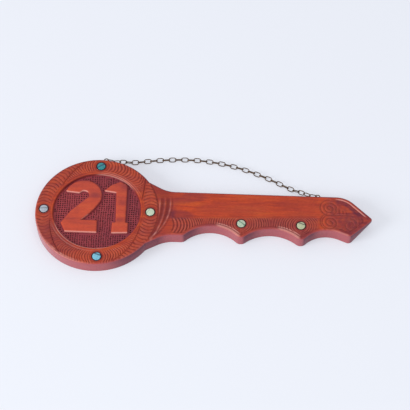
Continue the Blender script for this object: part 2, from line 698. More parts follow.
def pared_ring(ring, height, key):
    """A level ring of the wall, pared, with its points kept in order round the nose."""
    moved = pared(ring, height, key)
    _, forward, _ = paring(ring, key)
    shifted = np.linalg.norm(moved - ring, axis=1) > 1e-6
    if not shifted.any():
        return moved
    count = len(ring)
    peak = int(np.argmax(np.where(shifted, forward, -1)))
    ends = []
    for way in (1, -1):
        steps = 0
        while shifted[(peak + way * (steps + 1)) % count]:
            steps += 1
        ends.append((steps, way))
    past, way = min(ends)
    before = 2 * past + 4
    start = moved[(peak - way * before) % count]
    end = moved[(peak + way * (past + 1)) % count]
    for step in range(1, before + past + 1):
        share = step / (before + past + 1)
        moved[(peak - way * (before - step)) % count] = start + (end - start) * share
    return moved


def paring_height(points, key):
    """Height at which the pared plane meets the wall at each point, or a low one where it does not."""
    _, forward, across = paring(points, key)
    meets = pared_top(key) * (across / key.tip_pared + forward)
    low = key.chamfer + 0.7
    return np.where(forward > 0, meets, low).clip(low, pared_top(key))


def border_lattice(key):
    """Points spread over the border of the head."""
    rows = []
    radii = np.arange(key.panel_r + key.panel_bevel + 0.5, key.head_r - 2.2, 0.62)
    for number, r in enumerate(radii):
        count = round(TAU * r / 0.47)
        rows.append(r * directions((np.arange(count) + 0.5 * (number % 2)) * TAU / count))
    return np.vstack(rows)


def square_lattice(low, high, step):
    """Points in staggered rows over a rectangle."""
    rows = []
    for number, y in enumerate(np.arange(low[1], high[1], step * 0.87)):
        xs = np.arange(low[0] + (step / 2 if number % 2 else 0), high[0], step)
        rows.append(np.stack([xs, np.full_like(xs, y)], -1))
    return np.vstack(rows)


def punch_places(key, numerals):
    """Middles of the punched dots on the panel's ground, in hand-set rows."""
    reach = key.panel_r - 1.7
    rows = np.arange(-reach, reach, key.punch_pitch)
    grid = np.array([(x + 0.25 * math.sin(y * 0.21), y + 0.9 * math.sin(x * 0.045))
                     for y in rows for x in rows])
    grid += np.random.default_rng(key.seed).normal(0, 0.12, grid.shape)
    grid = grid[np.hypot(*grid.T) < reach]
    for loop in numerals:
        _, gap = nearest(grid, loop)
        grid = grid[~inside(grid, loop) & (gap > 1.55)]
    return grid


def edge_wear(loop):
    """How far each point of a numeral's edge is rubbed bright, below, or left dull, on the right."""
    normal = right_of(unit(np.roll(loop, -1, 0) - np.roll(loop, 1, 0)))
    return smooth(-normal[:, 1], 0.6, 0.9), smooth(normal[:, 0], 0.4, 0.9) * 0.7


def numeral_stain(points):
    """Patches on the numerals that have kept their dark stain."""
    total = np.zeros(len(points))
    for x, y, half_x, half_y, strength in (
        (-4, 22, 8, 4.5, 0.6), (32, 36, 7, 6, 0.55), (30, 12, 6, 4, 0.45), (26, -13, 9, 3, 0.5),
        (-24, -18, 9, 2, 0.3), (-30, 34, 10, 2, 0.25), (-21, 43, 14, 2.5, 0.4),
        (-29, -12, 12, 2.5, 0.35), (-9, -19, 9, 2, 0.3), (-24, 1, 3, 6, 0.25),
    ):
        off = (points - (x, y)) / (half_x, half_y)
        total += strength * line_cut(np.linalg.norm(off, axis=1), 1)
    return np.clip(total, 0, 1)


def marked(points, heights, tone, crest=0.0, stained=0.0, wear=0.0):
    """A table with a row for each point: its place, then its marks in the order of MARKS."""
    table = np.zeros((len(points), RECESS + 1))
    table[:, :2] = points
    table[:, 2] = heights
    table[:, GROUND:WALL + 1] = TONES[tone]
    for column, values in ((CREST, crest), (STAIN, stained), (WORN, wear)):
        table[:, column] = values
    return table


def loop_edges(numbers):
    """The edges of a closed loop, as pairs of point numbers."""
    return list(zip(numbers.tolist(), np.roll(numbers, -1).tolist()))


class Sheet:
    """Collects the points and fixed edges of the face before it is divided into triangles."""

    def __init__(self):
        self.tables, self.edges, self.count = [], [], 0

    def add(self, points, heights, tone, crest=0.0, stained=0.0, wear=0.0):
        """Adds loose points, with their surface tone, crests, stain and worn edges."""
        self.tables.append(marked(points, heights, tone, crest, stained, wear))
        self.count += len(points)

    def add_loop(self, points, *marks, **more_marks):
        """Adds a closed loop whose edges stay in the mesh."""
        self.edges += loop_edges(self.count + np.arange(len(points)))
        self.add(points, *marks, **more_marks)


def board_sheet(key, rim_points, rim_normals):
    """The carved face as a sheet of points with their heights and marks."""
    top, panel_r = key.board_t, key.panel_r
    floor = top - key.panel_depth
    rim = panel_r + key.panel_bevel
    numeral_top = floor + key.numeral_h
    discs = np.array(list(disc_places(key).values()))
    sheet = Sheet()

    def carved(points, edge):
        x, y = points.T
        depth, crest = face_depth(x, y, edge, key)
        return points, top - depth, "face", crest, stain(x, y, edge, key), worn(x, y, edge, key)

    edge_loop = rim_points - rim_normals * key.arris
    sheet.add_loop(*carved(edge_loop, np.full(len(edge_loop), key.arris)))
    for r, z, tone in (
        (rim, top - 0.1, "face"),
        (panel_r + 1.0, top - 0.3, "face"),
        (panel_r + 0.35, top - 0.7, "face"),
        (panel_r, top - 1.3, "wall"),
        (panel_r - 0.45, floor, "ground"),
    ):
        loop = circle_loop((0, 0), r, 1.3)
        _, angle = polar(*loop.T)
        low_left = between(angle, 195, 215, 275, 300) * (panel_r <= r < rim)
        top_right = between(angle, 30, 50, 85, 100) * (0.9 * (r == panel_r) + 0.5 * (r == rim))
        sheet.add_loop(loop, z, tone, wear=low_left + top_right)
    for middle in discs:
        for r, down, tone in SOCKET_RINGS:
            sheet.add_loop(circle_loop(middle, r, 0.8), top - down, tone, stained=0.75)
        sheet.add([middle], top - SOCKET_RINGS[-1][1], "seam")
    numerals = [filled_in(loop, NUMERAL_STEP) for loop in numeral_loops()]
    feet = [moved_loop(loop, NUMERAL_FOOT) for loop in numerals]
    shoulders = [moved_loop(loop, NUMERAL_SHOULDER) for loop in numerals]
    for foot, loop, shoulder in zip(feet, numerals, shoulders):
        rubbed, dull = edge_wear(loop)
        sheet.add_loop(foot, floor, "ground", stained=0.5)
        sheet.add_loop(loop, numeral_top - 0.75, "side", stained=dull, wear=rubbed)
        sheet.add_loop(shoulder, numeral_top - 0.06, "numeral", stained=numeral_stain(shoulder))
    fixed_points = np.vstack(sheet.tables)[:, :2]

    # carved wood outside the panel
    first_x, last_x = PLAIN_SHANK
    wide = square_lattice((50, -36), (key.tip_x, 46), FACE_STEP)
    plain = (wide[:, 1] > carved_line(wide[:, 0]) + 1.2) & (wide[:, 0] > first_x) & (wide[:, 0] < last_x)
    sparse = square_lattice((first_x, -8), (last_x, 46), PLAIN_STEP)
    sparse = sparse[sparse[:, 1] > carved_line(sparse[:, 0]) + 1.2]
    wide = np.vstack([wide[~plain], sparse])
    wide = wide[np.hypot(*wide.T) > key.head_r - 2.3]
    points = np.vstack([border_lattice(key), wide])
    number, _ = nearest(points, rim_points)
    edge = np.sum((rim_points[number] - points) * rim_normals[number], 1)
    keep = edge > key.arris + CLEAR_OF_EDGE
    points, edge = points[keep], edge[keep]
    _, gap = nearest(points, fixed_points)
    from_disc = np.min(np.linalg.norm(points[:, None] - discs[None], axis=2), 1)
    keep = (gap > CLEAR_OF_LOOPS) & (from_disc > CLEAR_OF_DISCS)
    sheet.add(*carved(points[keep], edge[keep]))

    # punched ground
    dots = punch_places(key, feet)
    draw = np.random.default_rng(key.seed + 5)
    size = draw.uniform(0.85, 1.12, len(dots))[:, None] * key.punch_r
    deep = key.punch_depth * draw.uniform(0.75, 1.2, len(dots))
    sheet.add(dots, floor - deep, "pit")
    for share, drop, lip, count, tone in ((0.72, 0.7, 0, 6, "pit"), (1.0, 0, 0.12, 8, "ground")):
        for number in range(count):
            angle = TAU * (number + 0.5 * (tone == "ground")) / count
            sheet.add(dots + directions(angle) * size * share, floor - deep * drop + lip, tone)

    # tops of the numerals, planed by hand
    tops = square_lattice((-45, -32), (42, 46), 1.6)
    for shoulder in shoulders:
        chosen = tops[inside(tops, shoulder)]
        _, gap = nearest(chosen, shoulder)
        chosen = chosen[gap > 0.8]
        hand = unevenness(*chosen.T, 14, key.seed + 3) * 0.07
        sheet.add(chosen, numeral_top + hand - 0.03, "numeral", stained=numeral_stain(chosen))
    return sheet


def divided(points, edges, way):
    """Divides points into triangles that face up (way 1) or down (way -1). Gives the triangles, the
    places of their corners, and the point that each corner came from."""
    corners, _, faces, origin, _, _ = geometry.delaunay_2d_cdt(
        [Vector(point) for point in points.tolist()], edges, [], 1, CLOSEST
    )
    places = np.array([corner[:] for corner in corners])
    came_from = np.array([first[0] if first else -1 for first in origin])
    lost = came_from < 0
    if lost.any():
        came_from[lost], _ = nearest(places[lost], points)
    faces = np.array(faces)
    a, b, c = (places[faces[:, k]] for k in range(3))
    turned = np.cross(b - a, c - a) * way < 0
    faces[turned] = faces[turned][:, ::-1]
    return faces, places, came_from


def board_mesh(key):
    """The whole carved board as points, triangles and surface marks."""
    top, arris, chamfer = key.board_t, key.arris, key.chamfer
    rim_points, rim_normals = outline(outline_circles(key), OUTLINE_STEP)
    sheet = board_sheet(key, rim_points, rim_normals)
    drawn = np.vstack(sheet.tables)
    triangles, places, came_from = divided(drawn[:, :2], sheet.edges, 1)
    table = drawn[came_from]
    table[:, :2] = places
    plain_top = np.where(table[:, GROUND] > 0.9, top - key.panel_depth, top)
    recess = np.clip((plain_top - table[:, 2]) / 0.9, 0, 1) * (table[:, NUMERAL] == 0)
    table[:, RECESS] = recess * (1 - 0.35 * smooth(table[:, 0], 258, 266))
    on_ground = table[:, GROUND] * ground_stain(*places.T)
    table[:, STAIN] = np.maximum(table[:, STAIN], on_ground)

    # rounded front edge, side wall and back
    count = len(rim_points)
    numbers = np.arange(count)
    edge_of = np.full(len(drawn), -1)
    edge_of[came_from] = np.arange(len(came_from))
    edge = table[edge_of[numbers]]
    rings = [(arris * (1 - math.cos(a)), top - arris * (1 - math.sin(a)))
             for a in np.radians([67, 45, 22, 0])]
    meets = paring_height(rim_points, key)
    rings += [(0, meets + (top - arris - meets) * share) for share in (0.8, 0.6, 0.4, 0.2, 0)]
    rings += [(0, chamfer + (meets - chamfer) * share) for share in (0.5, 0)]
    rings += [(chamfer, 0)]
    to_right, upward = rim_normals.T
    facing_up = smooth(upward, 0.1, 0.5)
    facing_left = smooth(-to_right, -0.1, 0.5) * smooth(-upward, 0.1, 0.4)
    facing_right = smooth(to_right, 0.15, 0.6) * smooth(-upward, 0.1, 0.5)
    tables, ring_numbers, base = [table], [edge_of[numbers]], len(table)
    for inset, z in rings:
        fade = math.sqrt(inset / arris) if np.all(z > top * 0.75) else 0.0
        pare = pared_ring if np.all(z < chamfer + 0.01) else pared
        ring = pare(rim_points - rim_normals * inset, z, key)
        height = z - (top - edge[:, 2]) * fade * 0.85
        rounded = z > top - arris
        shadow = facing_right * (0.74 + 0.24 * smooth(z, top * 0.35, top * 0.8))
        shaded = np.maximum(edge[:, STAIN] * fade, np.where(rounded, 0.85 * facing_up, shadow))
        rubbed = np.maximum(edge[:, WORN] * fade, 0.3 * facing_left * rounded)
        table = marked(ring, height, "flank", edge[:, CREST] * fade, shaded, rubbed)
        table[:, WALL] = np.where(z < top - arris * 0.6, 1.0, 0.3)
        table[:, RECESS] = edge[:, RECESS] * fade * 0.8
        tables.append(table)
        ring_numbers.append(base + numbers)
        base += count
    quads = np.vstack([
        np.column_stack([upper, lower, np.roll(lower, -1), np.roll(upper, -1)])
        for upper, lower in zip(ring_numbers, ring_numbers[1:])
    ])
    back_loop = pared_ring(rim_points - rim_normals * chamfer, 0, key)
    inner = square_lattice((-74, -74), (key.tip_x, 74), BACK_STEP)
    near, _ = nearest(inner, rim_points)
    depth = np.sum((rim_points[near] - inner) * rim_normals[near], 1)
    inner = inner[(depth > 4) & (np.linalg.norm(pared(inner, 0, key) - inner, axis=1) == 0)]
    back, _, came_from = divided(np.vstack([back_loop, inner]), loop_edges(numbers), -1)
    to_mesh = np.where(came_from < count, ring_numbers[-1][came_from % count], base + came_from - count)
    tables.append(marked(inner, 0, "flank"))
    table = np.vstack(tables)
    faces = np.vstack([triangles, quads[:, [0, 1, 2]], quads[:, [0, 2, 3]], to_mesh[back]])
    return table[:, :3], faces, dict(zip(MARKS, table[:, GROUND:].T))


def placed(name, data):
    """A new object in the scene."""
    piece = bpy.data.objects.new(name, data)
    bpy.context.scene.collection.objects.link(piece)
    return piece


def new_piece(name, coords, faces, material, sharp=None):
    """A mesh object with its place in its mesh, given in millimetres."""
    mesh = bpy.data.meshes.new(name)
    mesh.from_pydata((np.asarray(coords) * MM).tolist(), [], np.asarray(faces).tolist())
    mesh.validate()
    mesh.update()
    mesh.shade_smooth()
    if sharp:
        mesh.set_sharp_from_angle(angle=math.radians(sharp))
    mesh.materials.append(material)
    return placed(name, mesh)


def mark_points(piece, name, values):
    """Writes a number for each point of a piece, for its material to read."""
    layer = piece.data.attributes.new(name, "FLOAT", "POINT")
    layer.data.foreach_set("value", np.asarray(values, np.float32))


def skinned(rings, start, end):
    """A closed skin over a row of rings, with a middle point at each end."""
    rows, sides = len(rings), len(rings[0])
    here = np.arange(sides)
    after = (here + 1) % sides
    faces = [np.column_stack([np.full(sides, rows * sides), after, here])]
    for low in range(0, (rows - 1) * sides, sides):
        high = low + sides
        faces.append(np.column_stack([low + here, low + after, high + after]))
        faces.append(np.column_stack([low + here, high + after, high + here]))
    last = (rows - 1) * sides
    faces.append(np.column_stack([np.full(sides, rows * sides + 1), last + here, last + after]))
    return np.vstack([*rings, start, end]), np.vstack(faces)


def lathe(middle, profile, segments):
    """A turned solid about an upright axis, from its bottom middle to its top middle."""
    circle = circle_loop((0, 0), 1, TAU / segments)
    rings = [np.column_stack([middle + r * circle, np.full(segments, z)]) for r, z in profile[1:-1]]
    return skinned(rings, [*middle, profile[0][1]], [*middle, profile[-1][1]])


def wire(path, radii, sides):
    """A round wire along a path, closed at both ends."""
    ahead = unit(np.gradient(path, axis=0))
    side = np.array([0.0, 0.0, 1.0])
    angles = np.arange(sides)[:, None] * TAU / sides
    rings = []
    for place, forward, r in zip(path, ahead, radii):
        side = side - forward * np.dot(side, forward)
        side /= np.linalg.norm(side)
        other = np.cross(forward, side)
        rings.append(place + r * (np.cos(angles) * side + np.sin(angles) * other))
    return skinned(rings, path[0], path[-1])


# Node trees

def feed(tree, socket, value):
    """Links an output, or a node's first output, to an input, or gives the input its own value."""
    if isinstance(value, bpy.types.Node):
        value = value.outputs[0]
    if isinstance(value, bpy.types.NodeSocket):
        tree.links.new(value, socket)
        socket.node.location.x = max(socket.node.location.x, value.node.location.x + NODE_STEP)
    elif value is not None:
        socket.default_value = (*value, 1) if socket.type == "RGBA" else value


def feed_all(tree, node, values):
    """Feeds a node's inputs by name, where _ may stand for a blank, or sets a setting of the node."""
    for name, value in values.items():
        if hasattr(node, name):
            setattr(node, name, value)
        else:
            feed(tree, node.inputs[name.replace("_", " ")], value)


def add(tree, kind, first=None, **values):
    """A new node with its settings and inputs. The value called first feeds its first input."""
    node = tree.nodes.new(kind)
    node.location.y = -NODE_STEP * (len(tree.nodes) % 5)
    feed_all(tree, node, values)
    if first is not None:
        feed(tree, node.inputs[0], first)
    return node


def maths(tree, operation, *terms, **settings):
    """A sum of numbers and outputs of other nodes."""
    node = add(tree, "ShaderNodeMath", operation=operation, **settings)
    for socket, term in zip(node.inputs, terms):
        feed(tree, socket, term)
    return node.outputs[0]


def mixed(tree, share, below, above, blend="MIX"):
    """One colour laid over another."""
    node = add(tree, "ShaderNodeMix", share, data_type="RGBA", blend_type=blend)
    feed(tree, node.inputs[6], below)
    feed(tree, node.inputs[7], above)
    return node.outputs[2]


def spread(tree, value, low, high, to_low=0.0, to_high=1.0):
    """A value stretched from one span to another and kept within it."""
    return add(tree, "ShaderNodeMapRange", value, From_Min=low, From_Max=high,
               To_Min=to_low, To_Max=to_high).outputs[0]


def noise(tree, vector, scale, detail=2.0, roughness=0.5, distortion=0.0):
    """Cloudy noise."""
    return add(tree, "ShaderNodeTexNoise", vector, Scale=scale, Detail=detail, Roughness=roughness,
               Distortion=distortion).outputs["Fac"]


def bump(tree, height, strength, distance):
    """Fine relief that only the light sees."""
    return add(tree, "ShaderNodeBump", Height=height, Strength=strength, Distance=distance)


def new_tree(kind, name, inputs, outputs):
    """A node tree with named sockets. Gives it, the outputs of its start node, and its end node."""
    tree = bpy.data.node_groups.new(name, kind)
    for label, socket_kind, *default in inputs:
        socket = tree.interface.new_socket(label, in_out="INPUT", socket_type=socket_kind)
        if default:
            socket.default_value = default[0]
    for label, socket_kind in outputs:
        tree.interface.new_socket(label, in_out="OUTPUT", socket_type=socket_kind)
    return tree, add(tree, "NodeGroupInput").outputs, add(tree, "NodeGroupOutput")


def group_node(tree, name, build, **values):
    """A node that uses a shader node group, which is built the first time."""
    group = bpy.data.node_groups.get(name) or build(name)
    return add(tree, "ShaderNodeGroup", node_tree=group, **values).outputs


def new_material(name):
    """A material with its tree, its shader and the object's own coordinates."""
    material = bpy.data.materials.new(name)
    material.use_nodes = True
    tree = material.node_tree
    place = add(tree, "ShaderNodeTexCoord").outputs["Object"]
    return material, tree, tree.nodes["Principled BSDF"], place


# Materials

def grain_group(name):
    """Long grain, slow changes of tone and fine pores, in object coordinates."""
    outputs = ("Grain", "Streaks", "Cloud", "Pores")
    group, given, end = new_tree("ShaderNodeTree", name, [
        ("Vector", "NodeSocketVector"),
        ("Fine scale", "NodeSocketFloat", 900.0),
    ], [(output, "NodeSocketFloat") for output in outputs])
    for output, stretch, scale, detail, roughness, distortion in (
        ("Grain", 0.05, given["Fine scale"], 6.0, 0.65, 0.3),
        ("Streaks", 0.1, 190.0, 4.0, 0.6, 0.0),
        ("Cloud", 0.35, 38.0, 3.0, 0.55, 0.0),
        ("Pores", 0.12, 2600.0, 2.0, 0.5, 0.0),
    ):
        along = add(group, "ShaderNodeMapping", given["Vector"], Scale=(stretch, 1.0, 1.0))
        feed(group, end.inputs[output], noise(group, along, scale, detail, roughness, distortion))
    return group


def wood_material(colours):
    """Varnished red wood. It reads the board's own marks for its ground, numerals, seams and stain."""
    material, tree, shader, place = new_material("varnished_carved_wood")
    grain = group_node(tree, "Wood grain", grain_group, Vector=place)

    def tinted(*shares):
        return [c * share for c, share in zip(colours.wood, shares)]

    def mark(name):
        return add(tree, "ShaderNodeAttribute", attribute_name=name).outputs["Fac"]

    tone = mixed(tree, spread(tree, grain["Grain"], 0.32, 0.68), tinted(0.74, 0.74, 0.74),
                 tinted(1.14, 1.14, 1.14))
    for output, low, high, tint, strength in (
        ("Streaks", 0.50, 0.66, tinted(1.1, 1.55, 1.15), 0.6),
        ("Streaks", 0.48, 0.34, tinted(0.55, 0.5, 1.2), 0.6),
        ("Cloud", 0.50, 0.70, tinted(0.62, 0.62, 1.5), 0.5),
    ):
        share = maths(tree, "MULTIPLY", spread(tree, grain[output], low, high), strength)
        tone = mixed(tree, share, tone, tint)
    for name, tint, strength in (
        ("wall", colours.edge, 0.82),
        ("numeral", colours.numeral, 0.44),
        ("ground", colours.ground, 0.92),
        ("stain", colours.stain, 0.85),
        ("recess", colours.wood_dark, 0.62),
        ("crest", colours.crest, 0.42),
        ("worn", colours.worn, 0.88),
        ("seam", [c * 0.4 for c in colours.wood_dark], 0.9),
    ):
        tone = mixed(tree, maths(tree, "MULTIPLY", mark(name), strength), tone, tint)
    pores = spread(tree, grain["Pores"], 0.3, 0.6, 0.45)
    bare = maths(tree, "SUBTRACT", mark("wall"), mark("stain"), use_clamp=True)
    feed_all(tree, shader, {
        "Base Color": mixed(tree, 0.4, tone, pores, "MULTIPLY"),
        "Roughness": spread(tree, grain["Cloud"], 0.3, 0.7, 0.34, 0.52),
        "Coat Weight": spread(tree, bare, 0.0, 1.0, 0.06, 0.5),
        "Normal": bump(tree, grain["Grain"], 0.3, 0.0002),
        "Specular IOR Level": 0.18,
        "Coat Roughness": 0.18,
    })
    return material


def nacre_group(name):
    """Layered shell: pale and tinted bands with a darker flaw across the disc."""
    group, given, end = new_tree("ShaderNodeTree", name, [
        ("Vector", "NodeSocketVector"),
        ("Pale", "NodeSocketColor", (0.8, 0.8, 0.8, 1)),
        ("Tint", "NodeSocketColor", (0.4, 0.7, 0.7, 1)),
        ("Flaw", "NodeSocketColor", (0.05, 0.1, 0.1, 1)),
        ("Flaw width", "NodeSocketFloat", 0.0006),
        ("Flaw place", "NodeSocketFloat", 0.0),
    ], [("Colour", "NodeSocketColor"), ("Height", "NodeSocketFloat")])
    bands = spread(group, noise(group, given["Vector"], 330.0, 3.0, distortion=1.6), 0.36, 0.64)
    body = mixed(group, bands, given["Pale"], given["Tint"])
    split = add(group, "ShaderNodeSeparateXYZ", given["Vector"])
    shift = maths(group, "SUBTRACT", split.outputs["Y"], given["Flaw place"])
    stray = maths(group, "MULTIPLY_ADD", noise(group, given["Vector"], 420.0), 0.0022, -0.0011)
    off = maths(group, "ABSOLUTE", maths(group, "ADD", shift, stray))
    flaw = spread(group, off, 0.0, given["Flaw width"], 1.0, 0.0)
    feed_all(group, end, {"Colour": mixed(group, flaw, body, given["Flaw"]), "Height": bands})
    return group


def shell_material(name, middle, angle, pale, tint, flaw, width, shift):
    """Polished shell with its own bands, turned about the middle of its disc."""
    material, tree, shader, place = new_material(name)
    centre = add(tree, "ShaderNodeMapping", place, vector_type="TEXTURE",
                 Location=(middle[0] * MM, middle[1] * MM, 0.018), Rotation=(0, 0, math.radians(angle)))
    nacre = group_node(tree, "Nacre", nacre_group, Vector=centre, Pale=pale, Tint=tint, Flaw=flaw,
                       Flaw_width=width * MM, Flaw_place=shift * MM)
    feed_all(tree, shader, {
        "Base Color": nacre["Colour"],
        "Normal": bump(tree, nacre["Height"], 0.3, 0.0001),
        "Roughness": 0.22,
        "Coat Weight": 0.6,
        "Coat Roughness": 0.08,
    })
    return material


def patina_group(name):
    """Dark metal with brighter rubbed spots."""
    group, given, end = new_tree("ShaderNodeTree", name, [
        ("Vector", "NodeSocketVector"),
        ("Dark", "NodeSocketColor", (0.05, 0.04, 0.035, 1)),
        ("Rubbed", "NodeSocketColor", (0.3, 0.24, 0.18, 1)),
        ("Scale", "NodeSocketFloat", 900.0),
    ], [("Colour", "NodeSocketColor"), ("Roughness", "NodeSocketFloat"), ("Height", "NodeSocketFloat")])
    spots = noise(group, given["Vector"], given["Scale"], 5.0, 0.6)
    share = spread(group, spots, 0.42, 0.66)
    feed_all(group, end, {
        "Colour": mixed(group, share, given["Dark"], given["Rubbed"]),
        "Roughness": spread(group, share, 0.0, 1.0, 0.5, 0.3),
        "Height": spots,
    })
    return group


def bronze_material(name, tint, scale):
    """Dark antique metal."""
    material, tree, shader, place = new_material(name)
    patina = group_node(tree, "Patina", patina_group, Vector=place, Dark=[c * 0.45 for c in tint],
                        Rubbed=[min(1, c * 2.1) for c in tint], Scale=scale)
    feed_all(tree, shader, {
        "Base Color": patina["Colour"],
        "Roughness": patina["Roughness"],
        "Normal": bump(tree, patina["Height"], 0.25, 0.00005),
        "Metallic": 0.85,
    })
    return material


# Geometry node trees

def growing_tree(name, sizes):
    """A geometry node tree with named sizes and a material."""
    shape = ("Geometry", "NodeSocketGeometry")
    inputs = [shape] + [(label, "NodeSocketFloat", size) for label, size in sizes.items()]
    inputs.append(("Material", "NodeSocketMaterial"))
    return new_tree("GeometryNodeTree", name, inputs, [shape])


def finish_tree(tree, given, end, shape, turn=None):
    """Sets a shape on every given point, and ends in real, smooth geometry with its material."""
    copies = add(tree, "GeometryNodeInstanceOnPoints", given["Geometry"], Instance=shape, Rotation=turn)
    real = add(tree, "GeometryNodeRealizeInstances", copies)
    soft = add(tree, "GeometryNodeSetShadeSmooth", real)
    feed(tree, end.inputs[0], add(tree, "GeometryNodeSetMaterial", soft, Material=given["Material"]))
    return tree


def link_tree():
    """Oval wire links, one on each point, turned by the point's own angles."""
    tree, given, end = growing_tree(
        "Chain links", {"Wire": 0.0011, "Length": 0.009, "Width": 0.005, "Roundness": 0.22})
    oval = add(tree, "GeometryNodeCurvePrimitiveQuadrilateral", given["Length"], Height=given["Width"])
    bend = add(tree, "GeometryNodeFilletCurve", oval, mode="POLY", Count=7,
               Radius=maths(tree, "MULTIPLY", given["Width"], 0.499))
    even = add(tree, "GeometryNodeResampleCurve", bend, Count=36)
    place = add(tree, "ShaderNodeSeparateXYZ", add(tree, "GeometryNodeInputPosition")).outputs
    share = maths(tree, "DIVIDE", place["X"], given["Length"])
    pinch = maths(tree, "MULTIPLY", maths(tree, "MULTIPLY", share, share), given["Roundness"])
    inward = maths(tree, "MULTIPLY", maths(tree, "MULTIPLY", pinch, place["Y"]), -4.0)
    offset = add(tree, "ShaderNodeCombineXYZ", Y=inward)
    rounder = add(tree, "GeometryNodeSetPosition", even, Offset=offset)
    round_wire = add(tree, "GeometryNodeCurvePrimitiveCircle", Resolution=10,
                     Radius=maths(tree, "MULTIPLY", given["Wire"], 0.5))
    sweep = add(tree, "GeometryNodeCurveToMesh", rounder, Profile_Curve=round_wire)
    turn = add(tree, "GeometryNodeInputNamedAttribute", data_type="FLOAT_VECTOR", Name="turn")
    to_turn = add(tree, "FunctionNodeEulerToRotation", turn.outputs["Attribute"])
    return finish_tree(tree, given, end, sweep, to_turn)


def thread_tree():
    """A screw thread wound down a shank from the point that is given."""
    tree, given, end = growing_tree(
        "Screw thread", {"Turns": 9.0, "Radius": 0.0008, "Height": 0.008, "Depth": 0.0002})
    wound = add(tree, "GeometryNodeCurveSpiral", Resolution=14, Rotations=given["Turns"],
                Start_Radius=given["Radius"], End_Radius=given["Radius"], Height=given["Height"])
    edge = add(tree, "GeometryNodeCurvePrimitiveCircle", Resolution=4, Radius=given["Depth"])
    sweep = add(tree, "GeometryNodeCurveToMesh", wound, Profile_Curve=edge, Fill_Caps=True)
    lay = add(tree, "GeometryNodeTransform", sweep, Rotation=(math.pi / 2, 0, 0))
    return finish_tree(tree, given, end, lay)


def grown(name, points, tree, values, turns=None):
    """Runs a geometry node tree on a row of points and gives a plain mesh."""
    seed_mesh = bpy.data.meshes.new(name + "_points")
    seed_mesh.from_pydata([tuple(p) for p in points], [], [])
    if turns is not None:
        layer = seed_mesh.attributes.new("turn", "FLOAT_VECTOR", "POINT")
        layer.data.foreach_set("vector", np.asarray(turns, np.float32).ravel())
    seed = placed(name + "_points", seed_mesh)
    modifier = seed.modifiers.new("Grow", "NODES")
    modifier.node_group = tree
    sockets = {item.name: item.identifier for item in tree.interface.items_tree
               if item.in_out == "INPUT"}
    for label, value in values.items():
        modifier[sockets[label]] = value
    bpy.context.view_layer.update()
    evaluated = seed.evaluated_get(bpy.context.evaluated_depsgraph_get())
    mesh = bpy.data.meshes.new_from_object(evaluated)
    seed.modifiers.clear()
    bpy.data.objects.remove(seed)
    mesh.name = name
    return mesh


def joined(name, meshes):
    """One mesh out of several that share a material."""
    whole = bmesh.new()
    for mesh in meshes:
        whole.from_mesh(mesh)
    result = bpy.data.meshes.new(name)
    whole.to_mesh(result)
    whole.free()
    result.materials.append(meshes[0].materials[0])
    for polygon in result.polygons:
        polygon.material_index = 0
    result.shade_smooth()
    return result


def link_frame(node):
    """Middle of a link and its turn, from the solid's own points."""
    coords = np.zeros(len(node.data.vertices) * 3)
    node.data.vertices.foreach_get("co", coords)
    coords = np.unique(coords.reshape(-1, 3).round(7), axis=0)
    middle = (coords.min(0) + coords.max(0)) / 2
    _, axes = np.linalg.eigh(np.cov((coords - middle).T))
    long_way, wide_way = axes[:, 2], axes[:, 1]
    if long_way[0] < 0:
        long_way = -long_way
    up = np.cross(long_way, wide_way)
    turn = Matrix(np.column_stack([long_way, wide_way, up]).tolist()).to_euler()
    return middle, tuple(turn)


# Operators

class WALLKEY_OT_board(bpy.types.Operator):
    """Carve the key board: outline, sunk panel, numerals, punched ground and ripples"""

    bl_idname = "wall_key.board"
    bl_label = "Carve board"

    def execute(self, context):
        scene = context.scene
        key = in_mm(scene.key_board_sizes, scene.key_carving, scene.key_fittings)
        coords, faces, surface = board_mesh(key)
        if len(faces) >= MOST_TRIANGLES:
            raise RuntimeError(f"the board has {len(faces)} triangles, which is too many")
        material = wood_material(scene.key_colours)
        piece = new_piece("key_board_carved", coords, faces, material, sharp=62)
        if len(piece.data.vertices) != len(coords):
            raise RuntimeError("the board's mesh lost points when it was made")
        for name, values in surface.items():
            mark_points(piece, name, values)
        print("board triangles", len(faces))
        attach(piece, "key")
        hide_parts("key_board")
        return {"FINISHED"}


SHELLS = {
    # slot, turn in degrees, pale, tint, flaw, width of the flaw and its shift in millimetres
    "shell_disc_head_top": ("shell_teal", 35, (0.02, 0.30, 0.32), (0.005, 0.13, 0.17),
                            (0.0, 0.03, 0.10), 1.5, 0.6),
    "shell_disc_head_left": ("shell_silver", 4, (0.42, 0.46, 0.52), (0.30, 0.34, 0.40),
                             (0.07, 0.09, 0.11), 0.9, 0.7),
    "shell_disc_head_bottom": ("shell_blue", -20, (0.22, 0.56, 0.70), (0.10, 0.36, 0.52),
                               (0.01, 0.04, 0.08), 1.4, 2.6),
    "shell_disc_head_right": ("shell_mint", 60, (0.60, 0.64, 0.48), (0.40, 0.56, 0.42),
                              (0.24, 0.32, 0.24), 0.6, 2.6),
    "shell_disc_shank_1": ("shell_green", -38, (0.56, 0.56, 0.44), (0.26, 0.46, 0.32),
                           (0.02, 0.14, 0.08), 1.1, 0.9),
    "shell_disc_shank_2": ("shell_olive", -22, (0.50, 0.52, 0.34), (0.38, 0.42, 0.24),
                           (0.05, 0.05, 0.045), 1.2, 2.4),
}


